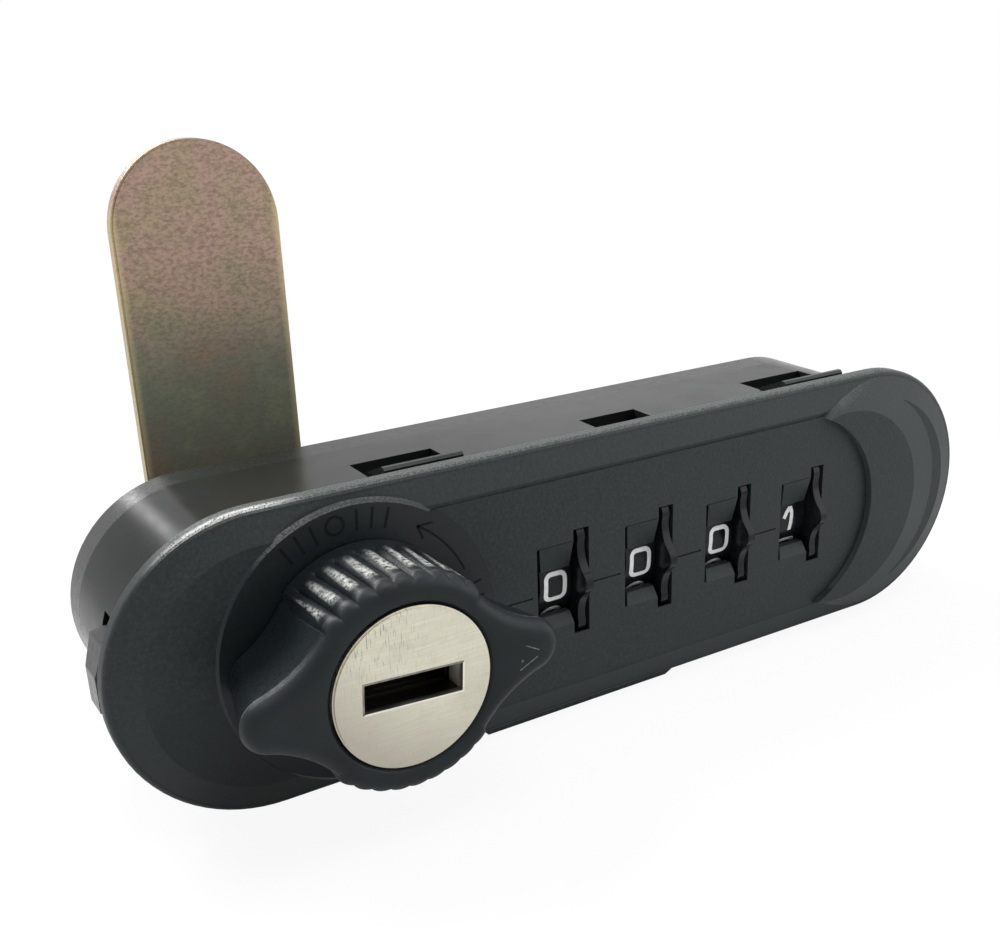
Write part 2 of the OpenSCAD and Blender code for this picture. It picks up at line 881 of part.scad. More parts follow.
// Outline of a thumb wheel, round its axis: lobes joined by hollows
module wheel_outline() {
    joint = lobe_at + lobe_r * (hollow_at * cos(180 / digit_count) - lobe_at) / (lobe_r + hollow_r);
    side = lobe_r * hollow_at * sin(180 / digit_count) / (lobe_r + hollow_r);
    difference() {
        circle(r = norm([joint, side]));
        for (i = [0 : digit_count - 1])
            rotate((i + 0.5) * digit_step)
                translate([hollow_at, 0])
                    circle(r = hollow_r + hollow_over);
    }
    for (i = [0 : digit_count - 1])
        rotate(i * digit_step)
            translate([lobe_at, 0])
                circle(r = lobe_r);
}

// Thumb wheel with a digit drum on its left, from the window's left edge
module dial(x) {
    color("#17191a")
    difference() {
        union() {
            axle(drum_r, x + drum_x, x + drum_end + eps);
            axle(drum_r - 0.4, x + drum_end, x + wheel_x + eps);
            run(x + wheel_x, x + wheel_x + wheel_t)
                translate([wheel_y, 0])
                    wheel_outline();
        }
        axle(sleeve_r + 0.05, x - 1, x + wheel_x + wheel_t + 1);
        axle(drum_r - 1.4, x - 1, x + drum_end - 1.2);
    }
}

// Sleeve inside a dial, with the gated flange that the slider's finger passes
module code_wheel(x) {
    color("#c9a94f")
    difference() {
        union() {
            axle(sleeve_r, x + drum_end - 2, x + sleeve_end);
            axle(sleeve_r + 1.2, x + wheel_x + wheel_t + 0.1, x + code_x + eps);
            axle(code_r, x + code_x, x + code_x + code_t);
        }
        axle(shaft_r + fit_run, x - 1, x + sleeve_end + 1);
        translate([x + code_x - 1, wheel_y + finger_tip_r - gap, -gate_w / 2])
            cube([code_t + 2, code_r, gate_w]);
    }
}

// Snap clip drawn for the top wall, round x = 0: tooth with a flat top, leg and root
module snap_clip(width, leg_w, leg_z, out, flat, ramp_end) {
    ridge = body_r + out;
    tooth_z = inner_r + 0.3;
    color("#1b1e1f")
    union() {
        run(-width / 2, width / 2)
            polygon([
                [clip_front, tooth_z], [clip_front, ridge - 0.3], [clip_front + 0.3, ridge],
                [clip_front + flat, ridge], [ramp_end, body_r - 0.4], [ramp_end, tooth_z]
            ]);
        translate([-leg_w / 2, clip_front, leg_z - leg_t])
            cube([leg_w, ramp_end - clip_front, tooth_z + eps - leg_z + leg_t]);
        translate([-leg_w / 2, clip_front, leg_z - leg_t])
            cube([leg_w, leg_end - clip_front, leg_t]);
        translate([-leg_w / 2, leg_end - 2, leg_z - leg_t - 0.6])
            cube([leg_w, 2, leg_t + 0.6]);
    }
}

module clip_at_left() {
    translate([clip_left_x, 0, 0])
        snap_clip(clip_left_w, clip_left_w - 1.4, leg_top, clip_out, clip_flat, clip_ramp_end);
}

module clip_at_right() {
    translate([clip_right_x, 0, 0])
        snap_clip(clip_right_w, clip_right_w - 2, leg_top, clip_out, clip_flat, clip_ramp_end);
}

// End clip, with a sloping upper corner on its tooth
module clip_at_end(side) {
    corner_h = 3.5;
    corner_in = 1.1;
    top = clip_end_w / 2 + eps;
    tip = end_x + body_r + clip_end_out + eps;
    difference() {
        translate([side * end_x, 0, 0])
            rotate([0, side * 90, 0])
                snap_clip(clip_end_w, clip_end_w - 1.2, leg_top_end, clip_end_out, clip_end_flat, clip_end_ramp);
        slab(clip_front - 1, clip_end_ramp + 1)
            polygon([[side * tip, top - corner_h], [side * tip, top], [side * (tip - corner_in), top]]);
    }
}

face_housing();
rear_cover();
cover_screws();
dial_shaft();
detent_spring();
knob();
knob_screws();
spindle();
spindle_clip();
drive_disc();
cam_spacer();
cam();
cam_washer();
cam_nut();
key_plug();
plug_wafers();
plug_clip();
locking_slider();
dial(dial_start);  // dial_1
dial(dial_start + dial_pitch);  // dial_2
dial(dial_start + 2 * dial_pitch);  // dial_3
dial(dial_start + 3 * dial_pitch);  // dial_4
code_wheel(dial_start);  // code_wheel_1
code_wheel(dial_start + dial_pitch);  // code_wheel_2
code_wheel(dial_start + 2 * dial_pitch);  // code_wheel_3
code_wheel(dial_start + 3 * dial_pitch);  // code_wheel_4
clip_at_left();  // clip_top_left
clip_at_right();  // clip_top_right
mirror([0, 0, 1]) clip_at_left();  // clip_bottom_left
mirror([0, 0, 1]) clip_at_right();  // clip_bottom_right
clip_at_end(-1);  // clip_left_end
clip_at_end(1);  // clip_right_end
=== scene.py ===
import math
import bpy
from mathutils import Matrix, Vector


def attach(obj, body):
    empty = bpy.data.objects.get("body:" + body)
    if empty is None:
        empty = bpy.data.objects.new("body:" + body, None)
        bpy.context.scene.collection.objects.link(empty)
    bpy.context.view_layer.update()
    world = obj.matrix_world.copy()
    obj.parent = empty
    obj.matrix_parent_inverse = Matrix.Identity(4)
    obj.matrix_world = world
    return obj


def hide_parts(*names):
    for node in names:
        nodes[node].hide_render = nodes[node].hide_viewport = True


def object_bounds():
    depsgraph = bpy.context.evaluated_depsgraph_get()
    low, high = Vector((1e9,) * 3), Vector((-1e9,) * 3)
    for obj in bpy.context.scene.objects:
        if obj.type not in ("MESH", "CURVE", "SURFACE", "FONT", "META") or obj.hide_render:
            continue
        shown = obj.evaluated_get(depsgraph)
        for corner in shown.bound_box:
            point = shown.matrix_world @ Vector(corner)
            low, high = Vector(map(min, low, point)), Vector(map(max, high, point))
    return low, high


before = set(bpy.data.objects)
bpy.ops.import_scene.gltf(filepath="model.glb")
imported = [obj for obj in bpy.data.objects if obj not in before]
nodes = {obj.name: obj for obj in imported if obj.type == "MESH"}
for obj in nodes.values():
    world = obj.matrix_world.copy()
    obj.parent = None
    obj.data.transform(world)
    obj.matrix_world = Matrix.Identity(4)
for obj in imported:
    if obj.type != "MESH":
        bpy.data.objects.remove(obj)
cad_low, cad_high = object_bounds()
scene = bpy.context.scene

# Sizes of the model that the pieces made here follow, in metres
MM = 0.001
KNOB_X = -34.1 * MM
DIAL_X = [(-11.4 + 12.7 * i) * MM for i in range(4)]
DIAL_AXIS_Y = 6.0 * MM
DRUM_R = 8.0 * MM
DIAL_READS = [0, 0, 0, 1]
DIGIT_TURN = math.radians(36)
FIELD_Y = -3.4 * MM
DISC_Y = FIELD_Y
DISC_R = 16.7 * MM
BODY_MIDDLE_Y = 8 * MM
# A little before the housing's round ends begin
ROUND_X = 44 * MM
KNOB_FRONT_Y = -15.6 * MM
KNOB_EDGE = 1.6 * MM
KNOB_BASE_Y = -3.7 * MM
PLUG_FRONT_Y = -15.7 * MM
RIB_TOP = 12.2 * MM
DIGIT_MIDDLE = 3.4 * MM
DIGIT_PHASE = math.radians(-4)

# The knob's outline and the keyway, in millimetres round the knob's axis
KNOB_R = 11.7
WING_TIP_R = 3.1
WING_FRONT = 14.9
WING_BACK = 12.3
WING_DRAFT = 0.15
FLANK_R = 14.0
RIB_H = 0.5
RIB_COUNT = 9
RIB_SPAN = 94.0
KEY_HALF_W = 5.6
KEY_HALF_H = 1.6
KEY_TILT = math.radians(3.5)
KEY_BEVEL = 0.2

# Radii of the marks round the knob, in millimetres
ARROW_R = 14.2
MARK_R = 14.4
TICK_INNER_R = 13.2
TICK_OUTER_R = 15.6


# Materials
class Tree:
    """A node tree, with short calls to build it."""

    def __init__(self, tree):
        self.tree = tree
        self.tree.nodes.clear()

    def node(self, kind):
        return self.tree.nodes.new("ShaderNode" + kind)

    def link(self, a, b):
        self.tree.links.new(a, b)

    def put(self, value, socket):
        if isinstance(value, bpy.types.NodeSocket):
            self.link(value, socket)
        elif isinstance(value, (tuple, list)) and len(value) == 3:
            socket.default_value = (*value, 1.0) if len(socket.default_value) == 4 else value
        else:
            socket.default_value = value

    def split(self, vector):
        """The X, Y and Z of a vector."""
        n = self.node("SeparateXYZ")
        self.link(vector, n.inputs[0])
        return tuple(n.outputs)

    def rays(self, *kinds):
        """1 for a ray of one of those kinds, else 0."""
        outputs = self.node("LightPath").outputs
        found = outputs[f"Is {kinds[0]} Ray"]
        for kind in kinds[1:]:
            found = self.math("MAXIMUM", found, outputs[f"Is {kind} Ray"])
        return found

    def math(self, kind, a, b=0.0):
        n = self.node("Math")
        n.operation = kind
        self.put(a, n.inputs[0])
        self.put(b, n.inputs[1])
        return n.outputs[0]

    def ramp(self, value, low, high, to_low=0.0, to_high=1.0, smooth=False):
        """From to_low where the value is low, to to_high where it is high."""
        n = self.node("MapRange")
        n.interpolation_type = "SMOOTHSTEP" if smooth else "LINEAR"
        for v, i in ((value, 0), (low, 1), (high, 2), (to_low, 3), (to_high, 4)):
            self.put(v, n.inputs[i])
        return n.outputs[0]

    def mix(self, factor, a, b):
        n = self.node("Mix")
        n.data_type = "RGBA"
        self.put(factor, n.inputs[0])
        self.put(a, n.inputs[6])
        self.put(b, n.inputs[7])
        return n.outputs[2]

    def colours(self, value, *stops):
        """A colour that runs through the stops, each a place from 0 to 1 and its colour."""
        n = self.node("ValToRGB")
        self.link(value, n.inputs[0])
        marks = n.color_ramp.elements
        while len(marks) < len(stops):
            marks.new(0.5)
        for mark, (at, colour) in zip(marks, stops):
            mark.position = at
            mark.color = (*colour, 1.0)
        return n.outputs[0]

    def times(self, *values):
        out = values[0]
        for v in values[1:]:
            out = self.math("MULTIPLY", out, v)
        return out

    def line(self, value, middle, half):
        """1 where value is at middle, falling to 0 at half away from it."""
        off = self.math("ABSOLUTE", self.math("SUBTRACT", value, middle))
        return self.ramp(off, 0.4 * half, half, 1.0, 0.0)

    def paint(self, base, colour, share, *masks):
        """The base with a colour laid over it, by that share where all the masks are 1."""
        return self.mix(self.times(share, *masks), base, colour)


class Shader(Tree):
    """A material's node tree."""

    def __init__(self, name):
        self.mat = bpy.data.materials.new(name)
        self.mat.use_nodes = True
        super().__init__(self.mat.node_tree)
        self.bsdf = self.node("BsdfPrincipled")
        self.link(self.bsdf.outputs["BSDF"], self.node("OutputMaterial").inputs["Surface"])
        self.object = self.node("TexCoord").outputs["Object"]
        self.x, self.y, self.z = self.split(self.object)

    def set(self, **values):
        for key, value in values.items():
            self.put(value, self.bsdf.inputs[key.replace("_", " ")])

    def scaled(self, sx, sy, sz, turn=(0, 0, 0)):
        n = self.node("Mapping")
        self.link(self.object, n.inputs[0])
        n.inputs["Rotation"].default_value = turn
        n.inputs["Scale"].default_value = (sx, sy, sz)
        return n.outputs[0]

    def noise(self, scale, detail=2.0, rough=0.5, vector=None, distort=0.0):
        n = self.node("TexNoise")
        self.put(vector or self.object, n.inputs["Vector"])
        n.inputs["Scale"].default_value = scale
        n.inputs["Detail"].default_value = detail
        n.inputs["Roughness"].default_value = rough
        n.inputs["Distortion"].default_value = distort
        return n.outputs["Fac"]

    def facing(self, axis):
        """Part of the true normal along an axis, 0 to 2 for X, Y and Z."""
        return self.split(self.node("NewGeometry").outputs["Normal"])[axis]

    def bump(self, height, strength, distance, after=None):
        n = self.node("Bump")
        self.put(height, n.inputs["Height"])
        n.inputs["Strength"].default_value = strength
        n.inputs["Distance"].default_value = distance
        if after is not None:
            self.link(after, n.inputs["Normal"])
        return n.outputs[0]

    def from_knob_axis(self):
        """Distance from the knob's axis, in metres."""
        dx = self.math("SUBTRACT", self.x, KNOB_X)
        square = self.math("ADD", self.times(dx, dx), self.times(self.z, self.z))
        return self.math("SQRT", square)


def face_material():
    s = Shader("face_black")
    grain = s.noise(2400, 3, 0.65)
    fine = s.noise(5200, 2, 0.6)
    cloud = s.noise(60, 3, 0.5)
    plate = s.colours(
        grain,
        (0.30, (0.010, 0.0145, 0.015)),
        (0.52, (0.0175, 0.0235, 0.024)),
        (0.75, (0.029, 0.037, 0.0375)),
    )
    # Light specks of the grain, denser toward the top: grain, and painted highlight of the top light on the
    # upper face
    specks = s.ramp(fine, 0.66, 0.74)
    height_up = s.ramp(s.z, 8 * MM, 16.5 * MM)
    specks = s.times(specks, s.ramp(height_up, 0.0, 1.0, 0.10, 0.35))
    plate = s.mix(specks, plate, (0.14, 0.15, 0.15))
    plate = s.mix(s.ramp(cloud, 0.35, 0.7, 0.0, 0.25), plate, (0.023, 0.029, 0.0295))
    radius = s.from_knob_axis()
    on_disc = s.times(
        s.ramp(radius, DISC_R + 0.05 * MM, DISC_R - 0.1 * MM),
        s.ramp(s.y, DISC_Y + 0.28 * MM, DISC_Y + 0.2 * MM),
    )
    plate = s.paint(plate, (0.007, 0.0105, 0.0125), 0.8, on_disc)
    up = s.ramp(s.facing(2), 0.5, 0.9)
    # Wear and painted highlight: pale specks on the up-facing surfaces near the top rim
    wear_and_highlight = s.times(up, s.ramp(fine, 0.42, 0.62), s.ramp(s.z, 13.5 * MM, 15.5 * MM))
    plate = s.paint(plate, (0.20, 0.21, 0.20), 0.5, wear_and_highlight)
    glint = s.times(
        up, s.line(s.x, -47 * MM, 9 * MM), s.ramp(s.y, -0.9 * MM, -1.3 * MM), s.ramp(fine, 0.36, 0.5)
    )
    plate = s.paint(plate, (0.62, 0.63, 0.61), 0.8, glint)
    # Painted light: the step at the right end that faces -X is painted lighter, where the lamps leave it dark
    step = s.times(
        s.ramp(s.x, 36 * MM, 37 * MM), s.ramp(s.facing(0), -0.05, -0.2), s.ramp(s.y, -2 * MM, -3 * MM)
    )
    plate = s.paint(plate, (0.055, 0.064, 0.065), 0.85, step)
    shade = s.times(s.ramp(s.x, -30 * MM, -48 * MM), s.ramp(s.z, 2 * MM, -12 * MM))
    plate = s.paint(plate, (0.004, 0.006, 0.007), 0.6, shade)
    behind = s.ramp(s.y, -0.2 * MM, 0.1 * MM)
    shell = s.colours(cloud, (0.3, (0.010, 0.011, 0.011)), (0.7, (0.018, 0.020, 0.019)))
    scuff = s.ramp(s.noise(1.0, 4, 0.7, s.scaled(160, 700, 160)), 0.60, 0.78)
    shell = s.paint(shell, (0.06, 0.06, 0.057), 0.15, scuff)
    # Painted light: the insides of the pockets behind the face are painted a pale speckled grey, as if lit
    pocket = s.times(
        s.ramp(s.z, 11.5 * MM, 11.2 * MM), s.ramp(s.z, 3 * MM, 4 * MM), s.ramp(s.y, 3 * MM, 4 * MM),
        s.ramp(s.math("ABSOLUTE", s.x), ROUND_X + 1 * MM, ROUND_X),
    )
    lit_grey = s.colours(fine, (0.35, (0.10, 0.105, 0.095)), (0.65, (0.22, 0.23, 0.21)))
    shell = s.mix(pocket, shell, lit_grey)
    s.set(Base_Color=s.mix(behind, plate, shell))
    matte = s.ramp(grain, 0.3, 0.7, 0.46, 0.62)
    matte = s.math("SUBTRACT", matte, s.math("MULTIPLY", on_disc, 0.16))
    glossy = s.ramp(s.noise(220, 3, 0.6), 0.3, 0.7, 0.18, 0.28)
    ahead = s.math("SUBTRACT", 1.0, behind)
    rough = s.math("ADD", s.times(ahead, matte), s.times(behind, glossy))
    # Painted sheen and shade: the shell's gloss level rises from the left end toward the middle, falls toward
    # the right end, and dips in a band round the left end
    round_end = s.times(s.ramp(s.x, -ROUND_X, -ROUND_X - 6 * MM), s.line(s.facing(2), 0.62, 0.45))
    film_and_sheen = s.times(
        s.ramp(s.x, -48 * MM, 0.0, 0.15, 0.26), s.ramp(s.x, 15 * MM, 42 * MM, 1.0, 0.62),
        s.ramp(round_end, 0.0, 1.0, 1.0, 0.45),
    )
    level = s.math("ADD", s.times(ahead, 0.26), s.times(behind, film_and_sheen))
    tint = s.mix(behind, (1.0, 1.0, 1.0), (0.94, 1.0, 0.93))
    s.set(Roughness=rough, Specular_IOR_Level=level, Specular_Tint=tint)
    grainy = s.times(s.ramp(behind, 0.0, 1.0, 1.0, 0.07), s.ramp(on_disc, 0.0, 1.0, 1.0, 0.4))
    s.set(Normal=s.bump(s.times(grainy, grain), 0.35, 0.10 * MM))
    return s.mat


def cover_material():
    s = Shader("cover_black")
    grain = s.noise(900, 3, 0.55)
    cloud = s.noise(70, 3, 0.5)
    s.set(Base_Color=s.colours(cloud, (0.3, (0.010, 0.011, 0.011)), (0.7, (0.018, 0.020, 0.019))),
          Roughness=s.ramp(grain, 0.3, 0.7, 0.22, 0.32), Specular_IOR_Level=0.32,
          Normal=s.bump(grain, 0.05, 0.05 * MM))
    return s.mat


def knob_material():
    s = Shader("knob_satin_black")
    grain = s.noise(2600, 2, 0.5)
    cloud = s.noise(150, 2, 0.5)
    base = s.colours(cloud, (0.3, (0.0075, 0.0105, 0.012)), (0.7, (0.012, 0.016, 0.018)))
    radius = s.from_knob_axis()
    # Painted highlight with some wear: pale lines along the wings' front and back edges, for the glints there
    front_edge = s.line(s.y, KNOB_FRONT_Y + KNOB_EDGE + 0.05 * MM, 0.16 * MM)
    back_edge = s.line(s.y, KNOB_BASE_Y + 0.10 * MM, 0.16 * MM)
    edge = s.math("ADD", front_edge, back_edge)
    wings = s.ramp(radius, 11.8 * MM, 12.6 * MM)
    wear_and_highlight = s.times(edge, wings, s.ramp(s.noise(900, 3, 0.6), 0.35, 0.6, 0.15, 1.0))
    # Painted highlight: bright speckled bands on the rib crests of the upper side, at mid-depth
    depth = s.times(s.ramp(s.y, -13.0 * MM, -12.0 * MM), s.ramp(s.y, -5.8 * MM, -7.4 * MM))
    crest = s.times(
        s.ramp(radius, RIB_TOP - 0.17 * MM, RIB_TOP - 0.05 * MM), depth, s.ramp(s.z, 6 * MM, 9 * MM),
        s.ramp(s.noise(2000, 4, 0.75), 0.38, 0.58),
    )
    front = s.ramp(s.y, -13.4 * MM, -14.2 * MM)
    base = s.paint(base, (0.13, 0.135, 0.14), 0.7, wear_and_highlight)
    base = s.paint(base, (0.52, 0.53, 0.50), 0.9, crest)
    rough = s.math("ADD", s.ramp(grain, 0.3, 0.7, 0.26, 0.37), s.times(front, 0.14))
    s.set(Base_Color=base, Roughness=rough, Specular_IOR_Level=0.20, Normal=s.bump(grain, 0.10, 0.035 * MM))
    return s.mat


def dial_material():
    s = Shader("dial_gloss_black")
    cloud = s.noise(260, 3, 0.55)
    s.set(Base_Color=s.colours(cloud, (0.3, (0.005, 0.006, 0.007)), (0.7, (0.011, 0.013, 0.014))),
          Roughness=s.ramp(cloud, 0.3, 0.7, 0.16, 0.30), Specular_IOR_Level=0.18,
          Normal=s.bump(s.noise(1500, 2, 0.5), 0.04, 0.05 * MM))
    return s.mat


def clip_material():
    s = Shader("clip_black")
    grain = s.noise(1200, 3, 0.55)
    s.set(Base_Color=s.colours(grain, (0.3, (0.007, 0.009, 0.009)), (0.7, (0.017, 0.019, 0.019))),
          Roughness=s.ramp(grain, 0.3, 0.7, 0.24, 0.38), Specular_IOR_Level=0.26,
          Normal=s.bump(grain, 0.06, 0.05 * MM))
    return s.mat


def digit_material():
    s = Shader("digit_white")
    grain = s.noise(3200, 2, 0.5)
    s.set(Base_Color=s.colours(grain, (0.3, (0.80, 0.81, 0.81)), (0.7, (0.92, 0.93, 0.93))),
          Roughness=0.42, Normal=s.bump(grain, 0.05, 0.03 * MM))
    return s.mat


def mark_material(name, low, high, rough, level):
    s = Shader(name)
    grain = s.noise(3000, 2, 0.5)
    s.set(Base_Color=s.colours(grain, (0.3, low), (0.7, high)), Roughness=rough, Specular_IOR_Level=level,
          Normal=s.bump(grain, 0.08, 0.04 * MM))
    return s.mat


def nickel_material():
    s = Shader("nickel_brushed")
    lines = s.noise(1.0, 3, 0.6, s.scaled(250, 3000, 5200, (0, 0.27, 0)))
    cloud = s.noise(260, 4, 0.65)
    scratch = s.noise(1.0, 2, 0.5, s.scaled(8000, 900, 700, (0, 0.42, 0)), 0.3)
    base = s.colours(
        lines, (0.25, (0.58, 0.56, 0.46)), (0.55, (0.67, 0.645, 0.53)), (0.80, (0.75, 0.725, 0.62))
    )
    # Painted shade: the plug's face is darker toward its lower left, and a little toward its lower right
    dx = s.math("SUBTRACT", s.x, KNOB_X)
    lower = s.ramp(s.math("SUBTRACT", s.z, dx), -4 * MM, -13 * MM)
    side = s.ramp(s.math("ADD", s.z, dx), -1 * MM, -11 * MM)
    base = s.paint(base, (0.34, 0.31, 0.27), 0.65, side)
    base = s.paint(base, (0.42, 0.39, 0.34), 0.35, lower)
    corner = s.times(s.ramp(s.z, 1 * MM, 6 * MM), s.ramp(s.x, KNOB_X + 2 * MM, KNOB_X - 3 * MM))
    mark = s.times(s.ramp(scratch, 0.56, 0.66), s.ramp(corner, 0.0, 1.0, 0.12, 0.85))
    base = s.mix(mark, base, (0.26, 0.24, 0.21))
    base = s.mix(s.ramp(cloud, 0.48, 0.72, 0.0, 0.35), base, (0.50, 0.45, 0.37))
    # Painted shade: inside the keyway, from a little behind the plug's face, the nickel is painted nearly
    # black, except the front of the wall facing -X
    deep = s.ramp(s.y, PLUG_FRONT_Y + 0.25 * MM, PLUG_FRONT_Y + 0.9 * MM)
    cut_side = s.ramp(s.facing(0), -0.3, -0.8)
    lit_wall = s.times(cut_side, s.ramp(s.y, -11.5 * MM, -13.5 * MM))
    shaded_inside = s.times(deep, s.math("SUBTRACT", 1.0, lit_wall))
    base = s.paint(base, (0.045, 0.045, 0.042), 0.93, shaded_inside)
    wall = s.times(deep, cut_side, s.ramp(s.noise(500, 3, 0.6), 0.35, 0.65, 0.35, 1.0))
    s.set(Base_Color=base, Metallic=s.ramp(wall, 0.0, 1.0, 1.0, 0.25),
          Roughness=s.ramp(lines, 0.3, 0.7, 0.30, 0.46),
          Normal=s.bump(lines, 0.12, 0.03 * MM, s.bump(scratch, 0.14, 0.03 * MM)))
    return s.mat


def metal_material(name, dark, light, rough_low, rough_high, scale=1400, strength=0.10):
    s = Shader(name)
    grain = s.noise(scale, 3, 0.6)
    cloud = s.noise(140, 3, 0.55)
    base = s.colours(grain, (0.3, dark), (0.7, light))
    base = s.mix(s.ramp(cloud, 0.4, 0.75, 0.0, 0.35), base, dark)
    s.set(Base_Color=base, Metallic=1.0, Roughness=s.ramp(grain, 0.3, 0.7, rough_low, rough_high),
          Normal=s.bump(grain, strength, 0.04 * MM))
    return s.mat


def cam_material():
    s = Shader("cam_yellow_zinc")
    cloud = s.noise(85, 3, 0.55, distort=0.5)
    grain = s.noise(1500, 3, 0.7, s.scaled(1.0, 1.0, 1.7))
    film_and_sheen = s.colours(
        cloud,
        (0.30, (0.29, 0.245, 0.17)),
        (0.42, (0.36, 0.27, 0.195)),
        (0.52, (0.40, 0.27, 0.22)),
        (0.62, (0.36, 0.28, 0.185)),
        (0.74, (0.29, 0.26, 0.17)),
    )
    low = s.ramp(s.z, 36 * MM, 19 * MM, smooth=True)
    dark = s.colours(
        s.noise(160, 3, 0.6),
        (0.32, (0.24, 0.18, 0.13)),
        (0.5, (0.18, 0.20, 0.15)),
        (0.68, (0.23, 0.245, 0.165)),
    )
    film_and_sheen = s.mix(low, film_and_sheen, dark)
    film_and_sheen = s.mix(s.ramp(grain, 0.40, 0.66, 0.0, 0.55), film_and_sheen, (0.11, 0.095, 0.065))
    # Painted highlight: the cam's film is lighter and yellower beyond about 10 mm either side of the knob's
    # axis, for its bright edges
    edge = s.ramp(s.math("ABSOLUTE", s.math("SUBTRACT", s.x, KNOB_X)), 9.4 * MM, 10.2 * MM)
    film_and_sheen = s.paint(film_and_sheen, (0.70, 0.58, 0.32), 0.45, edge)
    s.set(Base_Color=film_and_sheen, Metallic=s.ramp(low, 0.0, 1.0, 0.85, 0.45),
          Roughness=s.ramp(grain, 0.3, 0.7, 0.36, 0.52),
          Normal=s.bump(grain, 0.30, 0.06 * MM))
    return s.mat


FACE = face_material()
COVER = cover_material()
KNOB = knob_material()
DIAL = dial_material()
CLIP = clip_material()
DIGIT = digit_material()
# Dark material for the engraved marks and for the painted shadow lines at the windows
ENGRAVED_AND_SHADOW = mark_material("mark_dark", (0.003, 0.004, 0.005), (0.006, 0.008, 0.009), 0.55, 0.12)
POINTER = mark_material("mark_worn", (0.05, 0.055, 0.06), (0.22, 0.23, 0.24), 0.5, 0.4)
NICKEL = nickel_material()
CAM = cam_material()
STEEL = metal_material("steel_dull", (0.36, 0.36, 0.36), (0.56, 0.56, 0.55), 0.32, 0.48)
SPINDLE = metal_material("spindle_zinc", (0.40, 0.40, 0.39), (0.58, 0.58, 0.56), 0.34, 0.50)
SPRING = metal_material("spring_steel", (0.42, 0.42, 0.43), (0.60, 0.60, 0.60), 0.22, 0.34)
WAFER = metal_material("wafer_dark", (0.05, 0.04, 0.02), (0.12, 0.09, 0.05), 0.35, 0.5)
# Lit and shaded copies of one pale metal, for the painted light and shade on the keyway's bevel
BEVEL_LIT = metal_material("bevel_lit", (0.70, 0.66, 0.58), (0.86, 0.83, 0.76), 0.25, 0.4)
BEVEL_SHADED = metal_material("bevel_shaded", (0.16, 0.14, 0.12), (0.34, 0.31, 0.27), 0.35, 0.5)
BRASS = metal_material("brass", (0.50, 0.37, 0.15), (0.68, 0.52, 0.24), 0.28, 0.42)
ZINC = metal_material("zinc_plate", (0.46, 0.46, 0.44), (0.66, 0.66, 0.63), 0.28, 0.44)


def finish_of(name):
    """The finish of a CAD node, from its name."""
    rules = [
        ("face_housing", FACE), ("rear_cover", COVER), ("cover_screws", ZINC), ("dial_shaft", STEEL),
        ("detent_spring", SPRING), ("knob_screws", ZINC), ("knob", KNOB), ("spindle_clip", SPRING),
        ("spindle", SPINDLE), ("drive_disc", BRASS), ("cam_spacer", ZINC), ("cam_washer", ZINC),
        ("cam_nut", ZINC), ("cam", CAM), ("key_plug", NICKEL), ("plug_wafers", WAFER),
        ("plug_clip", SPRING), ("locking_slider", STEEL), ("dial_", DIAL), ("code_wheel", BRASS),
        ("clip_", CLIP),
    ]
    for start, mat in rules:
        if name.startswith(start):
            return mat
    return ZINC


for name, obj in nodes.items():
    obj.data.materials.clear()
    obj.data.materials.append(finish_of(name))


# Knob
def knob_outline(tip_x, inset, rib_part):
    """The outline in millimetres, with tapered ribs; rib_part is 1 where grooves are cut."""
    fx = ((KNOB_R + FLANK_R) ** 2 - (WING_TIP_R + FLANK_R) ** 2 + tip_x ** 2) / (2 * tip_x)
    fz = math.sqrt((KNOB_R + FLANK_R) ** 2 - fx ** 2)
    core_angle = math.atan2(fz, fx)
    tip_angle = math.atan2(fz, fx - tip_x)
    quarter = []
    for i in range(16):
        a = tip_angle * i / 16
        r = WING_TIP_R - inset
        quarter.append((tip_x + r * math.cos(a), r * math.sin(a)))
    for i in range(28):
        a = math.pi + tip_angle + (core_angle - tip_angle) * i / 28
        r = FLANK_R + inset
        quarter.append((fx + r * math.cos(a), fz + r * math.sin(a)))
    for i in range(121):
        a = core_angle + (math.pi / 2 - core_angle) * i / 120
        from_top = 90.0 - math.degrees(a)
        inside = min(1.0, max(0.0, (RIB_SPAN / 2 + 1.5 - from_top) / 4.0))
        wave = math.radians((RIB_SPAN / 2 - from_top) * 180 * RIB_COUNT / RIB_SPAN)
        crest = abs(math.sin(wave)) ** 0.55
        full = inside * inside * (3 - 2 * inside)
        r = KNOB_R - inset + RIB_H * full * (1.0 - rib_part * (1.0 - crest))
        quarter.append((r * math.cos(a), r * math.sin(a)))
    upper = quarter + [(-x, z) for x, z in reversed(quarter[:-1])]
    return upper + [(x, -z) for x, z in reversed(upper[1:-1])]


